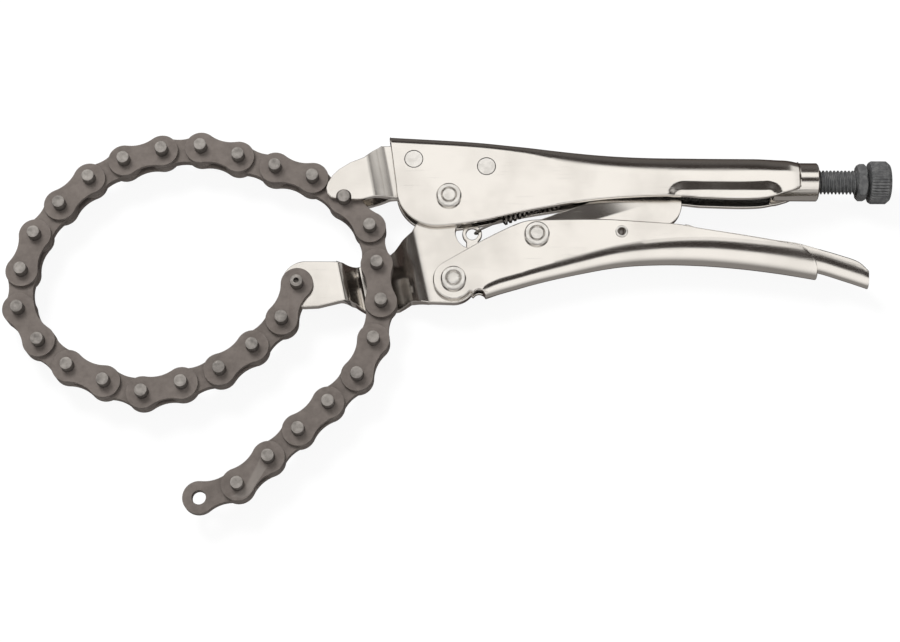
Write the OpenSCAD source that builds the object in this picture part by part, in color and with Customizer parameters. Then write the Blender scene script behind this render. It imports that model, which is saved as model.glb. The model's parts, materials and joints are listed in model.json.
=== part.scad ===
// Locking pliers with a clamping chain: an over-centre toggle draws a leaf chain tight round a pipe.
// The tool lies on its side: +X along the handles to the adjusting screw, +Y to the upper handle, +Z up.

/* [Chain] */
// Distance between neighbouring chain pins
chain_pitch = 15.875; // [15:0.025:17]
// Thickness of one chain plate
plate_t = 2; // [1.6:0.05:2.4]
// Height of a chain plate over its round ends
plate_h = 13; // [11.5:0.1:14]
// Height of a chain plate at its waist
waist_h = 9.8; // [8.5:0.1:11]
// Diameter of the chain pins
pin_d = 5.08; // [4:0.02:6]
// Length of the chain pins, which stand out on both sides to catch in the hook
pin_len = 16.8; // [15.5:0.1:19]
// Gap between neighbouring chain plates
plate_gap = 0.1; // [0.06:0.01:0.2]
// Hole in the free end of the chain
end_eye_d = 5.5; // [4.5:0.1:7]

/* [Jaws] */
// Thickness of each of the two hook plates
hook_t = 2.4; // [1.8:0.1:2.8]
// Slack between a chain pin and the notch of the hook
notch_slack = 0.3; // [0.2:0.05:0.5]
// Gap between the chain plates and the forked hook
fork_clear = 0.45; // [0.3:0.05:0.8]
// Room under the chain pins in the trough of the lower jaw
trough_clear = 0.6; // [0.4:0.1:1.5]
// Radius of the round eyes of the lower jaw
jaw_eye_r = 9.3; // [8.5:0.1:9.6]
// Hole for the spring hook in the lower jaw
spring_hole_d = 4.8; // [4.4:0.1:5.2]

/* [Handles] */
// Wall of the pressed upper handle
handle_wall = 2.2; // [1.8:0.1:2.4]
// Width of the upper handle at the grip
grip_w = 14.8; // [14.4:0.1:16]
// Wall of the pressed lower lever
lever_wall = 2.2; // [1.8:0.1:2.4]
// Width of the lower lever at its rear end
lever_w = 13.6; // [13.2:0.1:15]
// Wall of the pressed release lever
release_wall = 1.5; // [1.2:0.1:1.7]
// Gap between plates that slide past each other
side_clear = 0.15; // [0.1:0.01:0.3]
// Thickness of the toggle link
link_t = 4; // [3:0.1:4.2]

/* [Rivets] */
// Diameter of the three pivot rivets
pivot_d = 6; // [5:0.1:7]
// Diameter of their raised heads
head_d = 10.2; // [9:0.1:12]
// Height of their raised heads
head_h = 2; // [1.2:0.1:3]
// Diameter of the flush rivets through the fixed jaw
flush_d = 7.4; // [6:0.1:8]
// Diameter of the hollow rivet of the release lever
hollow_d = 5; // [4:0.1:6]
// Radial running gap round rivets and chain pins
run_gap = 0.05; // [0.03:0.01:0.09]
// Radial gap round pieces that are riveted fast
fast_gap = 0.02; // [0.01:0.005:0.04]

/* [Adjusting screw] */
// Diameter of the adjusting screw
screw_d = 9.8; // [8:0.1:10]
// Outside diameter of the threaded rear tube of the handle
tube_d = 15.6; // [14.8:0.1:16]
// Width of the lock nut across flats
nut_flats = 13.6; // [12:0.1:15]
// Thickness of the lock nut
nut_t = 3.7; // [3:0.1:5]
// Diameter of the knurled knob
knob_d = 17.6; // [14:0.1:19]
// Length of the knurled knob
knob_len = 8.3; // [6:0.1:12]

/* [Spring] */
// Diameter of the spring wire
wire_d = 0.9; // [0.7:0.05:1]
// Outside diameter of the spring
spring_d = 4.5; // [4:0.1:4.8]
// Distance from one curl to the next
curl_step = 2; // [1.8:0.05:2.1]
// Number of curls
curls = 13; // [8:1:14]

/* [Hidden] */
$fn = 64;

// Pivot centres, seen from above, with the pivot of the lower jaw at zero
jaw_pivot = [0, 0];
lever_pivot = [2, -35];
link_pivot = [35.5, -16];
release_pivot = [69.6, -15];
spring_eye = [9.5, -14.5];
rivet_a = [-14.4, 15.9];
rivet_b = [15.2, 12.9];
screw_y = 8.4;
tube_x = [132, 150];
tip_x = 94.7;
nut_x = 166;
nut_gap = 1.3;
knob_x = nut_x + nut_t + nut_gap;

// Heading of each chain link in degrees, from the jaw tip round the loop to the free end
headings = [-111, -135, -143, -159, -166, 164, 157, 140, 124, 89, 74, 54, 45, 30, 16,
            5, -14, -17, -16, -35, -48, -79, -83, -100, -113, -135, -136, -136, -137, -162];
links = len(headings);
chain_root = [-60.6, -37.1];
function pin_at(k) = k == 1 ? chain_root
    : pin_at(k - 1) + chain_pitch * [cos(headings[k - 2]), sin(headings[k - 2])];
pins = [for (k = [1:links + 1]) pin_at(k)];
hook_pin = 21;
plate_r = plate_h / 2;
chain_half = 2 * plate_t + 1.5 * plate_gap;

// Layers across the tool
jaw_t = 2 * plate_t;
handle_in = max(hook_t, jaw_t / 2, link_t / 2) + side_clear;
lever_in = max(jaw_t, link_t) / 2 + side_clear;
handle_out = handle_in + handle_wall;
lever_out = lever_in + lever_wall;
trough_top = -(pin_len / 2 + trough_clear);
fork_z = chain_half + fork_clear + hook_t / 2;
far = 300;

// The origin lies under the middle of the whole outline
span_x = [min([for (p = pins) p.x]) - plate_r, knob_x + knob_len];
span_y = [min([for (p = pins) p.y]) - plate_r, max([for (p = pins) p.y]) + plate_r];
middle = [(span_x[0] + span_x[1]) / 2, (span_y[0] + span_y[1]) / 2, trough_top - jaw_t];
module in_frame() {
    translate(-middle) children();
}

function link_name(k) = str("chain_link_", k < 10 ? "0" : "", k);

// Smooth curve through hand-set points, with the slope at each taken from its neighbours
function slope(p, i) = let (a = max(i - 1, 0), b = min(i + 1, len(p) - 1))
    (p[b].y - p[a].y) / (p[b].x - p[a].x);
function span(p, x, i = 0) = i >= len(p) - 2 || x < p[i + 1].x ? i : span(p, x, i + 1);
function curve(p, x) = let (
    i = span(p, x),
    h = p[i + 1].x - p[i].x,
    s = min(max((x - p[i].x) / h, 0), 1),
    a = slope(p, i) * h,
    b = slope(p, i + 1) * h)
    p[i].y * (1 + 2 * s) * pow(1 - s, 2) + a * s * pow(1 - s, 2)
    + p[i + 1].y * s * s * (3 - 2 * s) + b * s * s * (s - 1);

// Half section of a pressed channel from its lip to its spine, each point [y, z]
side_steps = [0, 0.175, 0.35, 0.525, 0.7, 1];
arc_step = 18;
function dent(s) = s < 0.7 ? sin(180 * s / 0.7) : 0;
function half_section(spine, lip, w, bend, rise, pinch, t) = let (
    d = sign(spine - lip),
    high = min(rise, abs(spine - lip) - 0.3),
    y = spine - d * high) concat(
    [for (s = side_steps) [lip + (y - lip) * s, w - t - pinch * dent(s)]],
    [for (a = [arc_step:arc_step:90]) [y + d * (high - t) * sin(a), w - bend + (bend - t) * cos(a)]]);
function mirrored(list) = [for (i = [len(list) - 1:-1:0]) [list[i].x, -list[i].y]];
function full_section(half) = concat(half, mirrored(half));

// A pressed channel lofted along X; rows hold [x, spine, lip, half width, bend width, bend rise, pinch]
module channel(rows, wall) {
    outer = [for (q = rows) full_section(half_section(q[1], q[2], q[3], q[4], q[5], q[6], 0))];
    inner = [for (q = rows) full_section(half_section(q[1], q[2], q[3], q[4], q[5], q[6], wall))];
    n = len(outer[0]);
    m = len(rows);
    points = [for (k = [0:m - 1]) each [for (half = [outer[k], inner[k]]) for (p = half) [rows[k][0], p.x, p.y]]];
    function at(k, side, i) = (2 * k + side) * n + i;
    function quad(a, b, c, d) = [[a, b, c], [a, c, d]];
    skins = [for (k = [0:m - 2]) for (i = [0:n - 2]) each concat(
        quad(at(k, 0, i), at(k, 0, i + 1), at(k + 1, 0, i + 1), at(k + 1, 0, i)),
        quad(at(k, 1, i + 1), at(k, 1, i), at(k + 1, 1, i), at(k + 1, 1, i + 1)))];
    lips = [for (k = [0:m - 2]) each concat(
        quad(at(k, 1, 0), at(k, 0, 0), at(k + 1, 0, 0), at(k + 1, 1, 0)),
        quad(at(k, 0, n - 1), at(k, 1, n - 1), at(k + 1, 1, n - 1), at(k + 1, 0, n - 1)))];
    ends = [for (i = [0:n - 2]) each concat(
        quad(at(0, 0, i + 1), at(0, 0, i), at(0, 1, i), at(0, 1, i + 1)),
        quad(at(m - 1, 0, i), at(m - 1, 0, i + 1), at(m - 1, 1, i + 1), at(m - 1, 1, i)))];
    faces = concat(skins, lips, ends);
    turned = rows[0][1] > rows[0][2] ? faces : [for (f = faces) [f[2], f[1], f[0]]];
    polyhedron(points, turned);
}

// Upright cylinder through the whole tool, for holes and round ends
module hole(at, d) {
    translate([at.x, at.y, -far / 2]) cylinder(d = d, h = far);
}

// Rivet with a raised, chamfered head and a riveted ring on each side
module pivot_rivet(at, half) {
    rim = 0.5;
    ring_d = head_d * 0.62;
    ring_depth = 0.4;
    translate([at.x, at.y, 0]) {
        cylinder(d = pivot_d, h = 2 * half + 0.2, center = true);
        for (side = [0, 1]) mirror([0, 0, side]) difference() {
            union() {
                translate([0, 0, half]) cylinder(d = head_d, h = head_h - rim);
                translate([0, 0, half + head_h - rim]) cylinder(d1 = head_d, d2 = head_d - 2 * rim, h = rim);
            }
            translate([0, 0, half + head_h - ring_depth]) difference() {
                cylinder(d = ring_d, h = head_h);
                cylinder(d = ring_d - 1.2, h = head_h);
            }
        }
    }
}

// Plate bent along a broken line in the XZ plane, with round bends; every point is [x, z]
module bent_strip(line, t) {
    rotate([90, 0, 0]) linear_extrude(far, center = true) {
        for (i = [0:len(line) - 2]) let (d = line[i + 1] - line[i])
            translate(line[i]) rotate(atan2(d.y, d.x)) translate([0, -t / 2]) square([norm(d), t]);
        for (i = [1:len(line) - 2]) translate(line[i]) circle(d = t);
    }
}

// Upper handle
handle_x = [-25, -10, 10, 25, 35, 45, 55, 65, 75, 85, 92, 97, 102, 110, 120, 127, 132, 138];
handle_top = [[-25, 26.2], [9, 24.3], [29, 22.4], [45, 20.7], [62, 19.1], [78, 18.2], [98, 17.9], [124, 17.8],
              [133, 17.3], [138, 17]];
handle_lip = [[-25, -12.6], [-4, -12.6], [13, -10.4], [29, -6.6], [45, -3.6], [61, -1.2], [77, -0.2], [95, 0],
              [103, -0.7], [126, -0.8], [138, 2]];
handle_bend = [[-25, 3.6], [22, 3.6], [35, 4.1], [50, 5.2], [75, 6.4], [90, 7], [118, 7.1], [131, 7.7], [138, 7.8]];
handle_rise = [[-25, 3.9], [22, 4], [35, 5.2], [50, 7.7], [75, 8.8], [103, 9.3], [131, 8.6], [138, 8.2]];
handle_pinch = [[-25, 0], [92, 0], [102, 1.5], [124, 1.5], [132, 0], [138, 0]];
function handle_half(x) = curve([[-25, handle_out], [20, handle_out], [60, (handle_out + grip_w / 2) / 2],
                                 [92, grip_w / 2], [118, grip_w / 2], [131, tube_d / 2 + 0.35],
                                 [138, tube_d / 2 + 0.4]], x);
module upper_handle() {
    rows = [for (x = handle_x) [x, curve(handle_top, x), curve(handle_lip, x), handle_half(x),
                                min(curve(handle_bend, x), handle_half(x) - 0.2), curve(handle_rise, x),
                                curve(handle_pinch, x)]];
    front_r = 16.2;
    front_c = [-5.2, 3.6];
    in_frame() color("gainsboro") difference() {
        union() {
            intersection() {
                channel(rows, handle_wall);
                linear_extrude(far, center = true) {
                    translate(front_c) circle(front_r);
                    polygon([[-26.4, 40], front_c - [front_r, 0], front_c - [0, front_r], [200, -20], [200, 40]]);
                }
            }
            translate([tube_x[0], screw_y, 0]) rotate([0, 90, 0]) cylinder(d = tube_d, h = tube_x[1] - tube_x[0]);
        }
        translate([tip_x, screw_y, 0]) rotate([0, 90, 0]) cylinder(d = screw_d + 2 * run_gap, h = far);
        hole(jaw_pivot, pivot_d + 2 * fast_gap);
        for (r = [rivet_a, rivet_b]) hole(r, flush_d + 2 * fast_gap);
    }
}

// One of the two laminated plates of the fixed jaw, bent out into a fork that straddles the chain
module hook_plate() {
    bend_turn = 11;
    bend_at = [-28.6, 10];
    root_z = hook_t / 2;
    line = [[90, root_z], [3, root_z], [-3, fork_z], [-60, fork_z]];
    notch_r = pin_d / 2 + notch_slack;
    notch = pins[hook_pin - 1];
    difference() {
        intersection() {
            translate([bend_at.x, bend_at.y, 0]) rotate(bend_turn) bent_strip(line, hook_t);
            linear_extrude(far, center = true) difference() {
                polygon([[22, 18.8], [-22, 22.4], [-27.7, 22.2], [-34.6, 15.7], [-39.8, 13.6], [-44.6, 10.5],
                         [-47.2, 7.8], [-49, 4.8], [-49.7, 2.4], [-49.3, 0.2], [-47.6, -1.5], [-45, -2],
                         [-37, -2.4], [-34.6, -2.2], [-30, -0.9], [-24, 0], [0, 0], [22, 8]]);
                translate(jaw_pivot) circle(jaw_eye_r + 0.4);
                translate(notch) circle(notch_r);
                translate(notch - [notch_r, far]) square([2 * notch_r, far]);
            }
        }
        for (r = [rivet_a, rivet_b]) hole(r, flush_d + 2 * fast_gap);
    }
}

module hook_plate_top() {
    in_frame() color("gainsboro") hook_plate();
}

module hook_plate_bottom() {
    in_frame() color("gainsboro") mirror([0, 0, 1]) hook_plate();
}

module jaw_rivets() {
    in_frame() color("silver") for (r = [rivet_a, rivet_b])
        translate([r.x, r.y, 0]) cylinder(d = flush_d, h = 2 * handle_out, center = true);
}

module jaw_pivot_rivet() {
    in_frame() color("silver") pivot_rivet(jaw_pivot, handle_out + fast_gap);
}

// Lower jaw: one plate with two eyes, a trough under the chain and a tip inside the first link
module lower_jaw() {
    low = trough_top - jaw_t / 2;
    fold_turn = 12;
    fold_at = [-29.2, -35];
    line = [[90, 0], [17.4, 0], [8.2, low], [-8.2, low], [-13.4, 0], [-60, 0]];
    tip_r = 9.6;
    tip_c = [-57.4, -36.7];
    pocket_r = 6.7;
    tab_r = spring_hole_d / 2 + 1.6;
    in_frame() color("gainsboro") difference() {
        intersection() {
            translate(fold_at) rotate(fold_turn) bent_strip(line, jaw_t);
            linear_extrude(far, center = true) {
                translate(jaw_pivot) circle(jaw_eye_r);
                translate(lever_pivot) circle(jaw_eye_r);
                translate(tip_c) circle(tip_r);
                translate(spring_eye) circle(tab_r);
                polygon([[-8.6, -3.4], [-15, -14.2], [-18.5, -16.8], [-22, -20.3], [-27, -23.2], [-37.6, -26.3],
                         tip_c + [15.4, tip_r], tip_c + [0, tip_r], tip_c - [0, tip_r], [-52, -46], [-43, -43.7],
                         [-37.5, -43], [-32.5, -45.6], [-19.6, -44.5], [-14.8, -42.4], [-8, -44],
                         lever_pivot - [0, jaw_eye_r], lever_pivot + [jaw_eye_r, 0], [12, -18], [8.6, -3.4]]);
            }
        }
        hole(jaw_pivot, pivot_d + 2 * run_gap);
        hole(lever_pivot, pivot_d + 2 * run_gap);
        hole(chain_root, pin_d + 2 * run_gap);
        hole(spring_eye, spring_hole_d);
        translate([spring_eye.x, spring_eye.y, 0]) {
            cylinder(r = pocket_r, h = far);
            translate([0, 0, -far]) linear_extrude(2 * far) difference() {
                circle(pocket_r);
                circle(tab_r);
                translate([-2.4, -far]) square([tab_r + 2.4, far]);
            }
        }
    }
}

// Lower lever
lever_x = [-8, 4, 12, 20, 28, 36, 44, 52, 60, 72, 84, 96, 108, 120, 132, 140, 148];
lever_spine = [[-8, -43.6], [13, -42.2], [21, -39.8], [37, -35.1], [53, -31.3], [69, -28.3], [85, -27.2],
               [101, -27.4], [117, -28.7], [133, -31.7], [148, -33.4]];
lever_lip = [[-8, -29.6], [9, -20.9], [21, -14.5], [29, -10.8], [35, -9.6], [61, -9.5], [77, -10.6], [93, -12],
             [101, -13.6], [117, -16.2], [133, -19], [148, -21.9]];
lever_bend = [[-8, 2.5], [15, 3.4], [30, 4], [60, 5], [100, 6.5], [148, 6.5]];
lever_rise = [[-8, 3.5], [15, 4.8], [30, 5.7], [56, 7], [103, 10], [148, 9]];
function lever_half(x) = curve([[-8, lever_out], [26, lever_out], [44, lever_out], [68, (lever_out + lever_w / 2) / 2],
                                [100, lever_w / 2], [148, lever_w / 2]], x);
module lower_lever() {
    rows = [for (x = lever_x) [x, curve(lever_spine, x), curve(lever_lip, x), lever_half(x),
                               min(curve(lever_bend, x), lever_half(x) - 0.2), curve(lever_rise, x), 0]];
    nose_r = 8.2;
    spine_start = 13;
    end_r = 9.5;
    end_c = [148 - end_r, -19 - end_r];
    in_frame() color("gainsboro") difference() {
        intersection() {
            channel(rows, lever_wall);
            union() {
                hole(lever_pivot, 2 * nose_r);
                translate([end_c.x, end_c.y, -far / 2]) cylinder(r = end_r, h = far);
                linear_extrude(far, center = true) polygon([lever_pivot + nose_r * [-0.47, 0.88], [21, -14], [30, 10],
                    [100, 10], end_c + [0, end_r], end_c + [end_r, 0], [148, -60], [14, -60], [spine_start, -42],
                    lever_pivot - [0, nose_r]]);
            }
        }
        translate([spine_start - far, -far / 2, -lever_in]) cube([far, far, 2 * lever_in]);
        hole(lever_pivot, pivot_d + 2 * fast_gap);
        hole(link_pivot, pivot_d + 2 * fast_gap);
        hole(release_pivot, hollow_d + 2 * fast_gap);
    }
}

module lever_pivot_rivet() {
    in_frame() color("silver") pivot_rivet(lever_pivot, lever_out + fast_gap);
}

module link_pivot_rivet() {
    half = max([for (side = [-1, 0, 1]) lever_half(link_pivot.x + side * head_d / 2)]);
    in_frame() color("silver") pivot_rivet(link_pivot, half + fast_gap);
}

// Toggle link: its round nose bears on the tip of the adjusting screw
module toggle_link() {
    eye_r = 6.4;
    nose_r = 10;
    nose = [tip_x - 10.2, -1.8];
    in_frame() color("lightgray") difference() {
        translate([0, 0, -link_t / 2]) union() {
            translate(link_pivot) cylinder(r = eye_r, h = link_t);
            translate(nose) cylinder(r = nose_r, h = link_t);
            linear_extrude(link_t) polygon([link_pivot + eye_r * [-0.3, 0.95], nose + [-3, 9.5], nose - [3, 9.4],
                                            [52, -9.6], link_pivot + eye_r * [0.9, -0.4]]);
        }
        hole(link_pivot, pivot_d + 2 * run_gap);
    }
}

// Release lever
release_x = [58, 64, 70, 77, 84, 90, 93, 95, 98, 101, 108, 118, 130, 140, 148, 156, 163, 168.5];
release_spine = [[58, -20.6], [70, -21.4], [85, -22], [101, -23.2], [117, -25.2], [133, -28.2], [148, -30.6],
                 [158, -34.6], [168.5, -38.2]];
release_lip = [[58, -15.5], [64, -12.6], [70, -12], [84, -14], [91, -14.2], [94, -12], [96, -11.3], [99, -12.4],
               [104, -15.6], [118, -18], [130, -19.6], [140, -19.6], [147, -19.9], [157, -23.8], [164.5, -27],
               [168.5, -31]];
function release_half(x) = lever_half(min(x, 148)) - lever_wall - side_clear - 0.15;
module release_lever() {
    rise = 5;
    rows = [for (x = release_x) [x, curve(release_spine, x), curve(release_lip, x), release_half(x),
                                 release_half(x) - 0.2, rise, 0]];
    in_frame() color("gainsboro") difference() {
        channel(rows, release_wall);
        hole(release_pivot, hollow_d + 2 * run_gap);
    }
}

module release_rivet() {
    wall = 0.9;
    in_frame() color("silver") translate([release_pivot.x, release_pivot.y, 0]) difference() {
        cylinder(d = hollow_d, h = 2 * lever_half(release_pivot.x) + 1, center = true);
        cylinder(d = hollow_d - 2 * wall, h = far, center = true);
    }
}

// Return spring along its own axis: a hook through the jaw, the curls, and a hook round the anchor
spring_turn = 24;
coil_r = (spring_d - wire_d) / 2;
coil_from = 13;
coil_to = coil_from + (curls + 0.75) * curl_step;
anchor_d = 2.2;
anchor_u = coil_to + 5;
hook_r = anchor_d / 2 + wire_d / 2 + 0.15;
eye_hook = [3.2, -jaw_t / 4, 1.95];
spring_path = concat(
    [for (a = [280:-24:100]) [eye_hook.x + eye_hook.z * cos(a), 0, eye_hook.y + eye_hook.z * sin(a)]],
    [for (s = [0.3, 0.65]) [eye_hook.x + (coil_from - eye_hook.x) * s, 0,
                            eye_hook.y + eye_hook.z + (coil_r - eye_hook.y - eye_hook.z) * s]],
    [for (i = [0:8 * curls + 6]) [coil_from + i * curl_step / 8, coil_r * sin(45 * i), coil_r * cos(45 * i)]],
    [[(coil_to + anchor_u) / 2, -(coil_r + hook_r) / 2, 0]],
    [for (a = [-90:27:126]) [anchor_u + hook_r * cos(a), hook_r * sin(a), 0]]);

function unit(v) = v / norm(v);
function across(v, t) = unit(v - (v * t) * t);
function tangents(p) = [for (i = [0:len(p) - 1]) unit(p[min(i + 1, len(p) - 1)] - p[max(i - 1, 0)])];

// Round wire swept along a path, with its rings carried on from one to the next without twist
module wire(path, d) {
    sides = 6;
    t = tangents(path);
    normals = [for (i = 0, v = across([0, 1, 0.2], t[0]); i < len(path);
                    i = i + 1, v = i < len(path) ? across(v, t[i]) : v) v];
    points = [for (i = [0:len(path) - 1]) for (k = [0:sides - 1])
        path[i] + d / 2 * (cos(60 * k) * normals[i] + sin(60 * k) * cross(t[i], normals[i]))];
    last = (len(path) - 1) * sides;
    walls = [for (i = [0:len(path) - 2]) for (k = [0:sides - 1])
        let (a = i * sides + k, b = i * sides + (k + 1) % sides)
        each [[a, a + sides, b + sides], [a, b + sides, b]]];
    caps = [for (k = [1:sides - 2]) each [[0, k, k + 1], [last, last + k + 1, last + k]]];
    polyhedron(points, concat(walls, caps));
}

curl_skip = 7;
least_gap = min([for (i = [0:len(spring_path) - 1 - curl_skip])
    min([for (j = [i + curl_skip:len(spring_path) - 1]) norm(spring_path[i] - spring_path[j])])]) - wire_d;
echo(least_gap_of_spring_to_itself = least_gap);

module return_spring() {
    in_frame() color("dimgray") translate([spring_eye.x, spring_eye.y, 0]) rotate(spring_turn) wire(spring_path, wire_d);
}

module spring_anchor() {
    at = spring_eye + anchor_u * [cos(spring_turn), sin(spring_turn)];
    half = handle_half(at.x) - handle_wall - fast_gap;
    in_frame() color("silver") translate([at.x, at.y, 0]) cylinder(d = anchor_d, h = 2 * half, center = true);
}

// Screw, lock nut and knob share the axis of the rear tube
module on_screw(x) {
    translate([x, screw_y, 0]) rotate([0, 90, 0]) children();
}

module adjusting_screw() {
    cone = 1.5;
    in_frame() color("darkslategray") {
        on_screw(tip_x) cylinder(d1 = screw_d - 2 * cone, d2 = screw_d, h = cone);
        on_screw(tip_x + cone) cylinder(d = screw_d, h = knob_x - tip_x - cone);
    }
}

module lock_nut() {
    in_frame() color("darkslategray") on_screw(nut_x) difference() {
        cylinder(d = nut_flats / cos(30), h = nut_t, $fn = 6);
        translate([0, 0, -far / 2]) cylinder(d = screw_d + 2 * run_gap, h = far);
    }
}

module knurled_knob() {
    rim = 1;
    in_frame() color("darkslategray") on_screw(knob_x) rotate_extrude()
        polygon([[0, 0], [knob_d / 2 - rim / 2, 0], [knob_d / 2, rim / 2], [knob_d / 2, knob_len - rim],
                 [knob_d / 2 - rim, knob_len], [0, knob_len]]);
}

// Waisted chain plate between two pins, with its own hole sizes; its hollow flanks almost touch the round ends
module plate_outline(hole_a, hole_b) {
    p = chain_pitch / 2;
    w = waist_h / 2;
    touch_r = (p * p + w * w - plate_r * plate_r) / (2 * (plate_r - w));
    flank_r = 0.93 * touch_r;
    meet = plate_r / (plate_r + touch_r) * [p, w + touch_r];
    difference() {
        union() {
            for (x = [0, chain_pitch]) translate([x, 0]) circle(plate_r);
            translate([meet.x, -meet.y]) square([chain_pitch - 2 * meet.x, 2 * meet.y]);
        }
        for (side = [-1, 1]) translate([p, side * (w + flank_r)]) circle(flank_r, $fn = 160);
        circle(d = hole_a);
        translate([chain_pitch, 0]) circle(d = hole_b);
    }
}

module chain_pin(hollow) {
    rim = 0.4;
    difference() {
        union() {
            cylinder(d = pin_d, h = pin_len - 2 * rim, center = true);
            for (side = [0, 1]) mirror([0, 0, side]) translate([0, 0, pin_len / 2 - rim])
                cylinder(d1 = pin_d, d2 = pin_d - 2 * rim, h = rim);
        }
        if (hollow) for (side = [0, 1]) mirror([0, 0, side])
            translate([0, 0, pin_len / 2 - 2]) cylinder(d = pin_d * 0.42, h = 3);
    }
}

// Odd links hold their two pins between outer plates; even links are a pair of plates side by side
module chain_link(k) {
    outer = k % 2 == 1;
    fit = pin_d + 2 * (outer ? fast_gap : run_gap);
    z = plate_gap / 2 + (outer ? plate_t + plate_gap : 0);
    in_frame() color("dimgray") translate([pins[k - 1].x, pins[k - 1].y, 0]) rotate(headings[k - 1]) {
        for (side = [0, 1]) mirror([0, 0, side]) translate([0, 0, z])
            linear_extrude(plate_t) plate_outline(fit, k == links ? end_eye_d : fit);
        if (outer) for (i = [0, 1]) translate([i * chain_pitch, 0, 0]) chain_pin(k == 1 && i == 0);
    }
}

upper_handle();
hook_plate_top();
hook_plate_bottom();
jaw_rivets();
jaw_pivot_rivet();
lower_jaw();
lower_lever();
lever_pivot_rivet();
toggle_link();
link_pivot_rivet();
release_lever();
release_rivet();
return_spring();
spring_anchor();
adjusting_screw();
lock_nut();
knurled_knob();
for (k = [1:links]) chain_link(k);
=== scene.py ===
"""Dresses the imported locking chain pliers: plated pressings, rivets, screw and chain, on a pale floor."""

import json
import math

import bpy
from mathutils import Matrix, Vector

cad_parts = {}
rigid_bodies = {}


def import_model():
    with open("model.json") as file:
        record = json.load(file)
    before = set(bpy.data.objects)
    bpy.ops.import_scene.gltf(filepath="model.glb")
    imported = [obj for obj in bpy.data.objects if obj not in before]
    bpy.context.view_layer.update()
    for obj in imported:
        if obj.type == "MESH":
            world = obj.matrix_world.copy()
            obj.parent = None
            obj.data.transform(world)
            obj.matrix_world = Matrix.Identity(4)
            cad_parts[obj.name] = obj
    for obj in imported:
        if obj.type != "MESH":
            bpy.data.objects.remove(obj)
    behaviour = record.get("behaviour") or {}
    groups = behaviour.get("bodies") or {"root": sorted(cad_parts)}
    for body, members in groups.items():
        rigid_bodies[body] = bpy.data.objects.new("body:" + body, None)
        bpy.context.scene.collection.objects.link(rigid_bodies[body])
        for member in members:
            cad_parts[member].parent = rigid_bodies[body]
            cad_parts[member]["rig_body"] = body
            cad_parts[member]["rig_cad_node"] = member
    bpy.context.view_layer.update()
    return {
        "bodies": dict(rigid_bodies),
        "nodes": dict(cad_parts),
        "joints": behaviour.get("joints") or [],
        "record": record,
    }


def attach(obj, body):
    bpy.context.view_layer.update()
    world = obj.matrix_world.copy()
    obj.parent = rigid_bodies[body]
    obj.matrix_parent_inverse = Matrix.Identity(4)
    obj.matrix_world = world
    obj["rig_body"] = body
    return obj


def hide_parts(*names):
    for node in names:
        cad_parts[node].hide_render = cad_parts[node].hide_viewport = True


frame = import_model()

joints = {joint["name"]: joint for joint in frame["joints"]}
mounts = {mount["name"]: mount for mount in frame["record"]["mounts"]}

# Pieces are modelled in millimetres about the jaw pivot, then settled into the row frame in metres
MM = 0.001
ORIGIN = Vector(joints["jaw_pivot"]["pos_m"])


def place(joint):
    """Where a joint lies, in millimetres from the jaw pivot."""
    return (Vector(joints[joint]["pos_m"]) - ORIGIN) / MM


JAW_PIVOT = place("jaw_pivot")
LEVER_PIVOT = place("lever_pivot")
LINK_PIVOT = place("link_pivot")
RELEASE_PIVOT = place("release_pivot")
SCREW_Y = place("knob_turn").y
FLUSH_RIVETS = [(-14.4, 15.9), (15.2, 12.9)]

# Sheet thicknesses, half widths of the flat sides, and a length that reaches past the whole tool
SHEET = 2.2
RELEASE_SHEET = 1.5
HANDLE_OUT = 4.75
LEVER_OUT = 4.35
LEVER_IN = 2.15
FAR = 300

# Bores and what runs in them
RIVET_BORE = 3.02
FLUSH_BORE = 3.85
FLUSH_R = 3.65
RELEASE_BORE = 2.52
RELEASE_RUN = 2.55
SCREW_BORE = 4.95


# Materials

class Value:
    """A number on its way through the nodes of a material."""

    def __init__(self, finish, socket):
        self.finish = finish
        self.socket = socket

    def math(self, operation, first, second):
        return self.finish.node("ShaderNodeMath", {"operation": operation}, {0: first, 1: second})

    def __add__(self, other):
        return self.math("ADD", self, other)

    def __radd__(self, other):
        return self.math("ADD", other, self)

    def __sub__(self, other):
        return self.math("SUBTRACT", self, other)

    def __rsub__(self, other):
        return self.math("SUBTRACT", other, self)

    def __mul__(self, other):
        return self.math("MULTIPLY", self, other)

    def __rmul__(self, other):
        return self.math("MULTIPLY", other, self)

    def at_least(self, other):
        return self.math("MAXIMUM", self, other)


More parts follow.
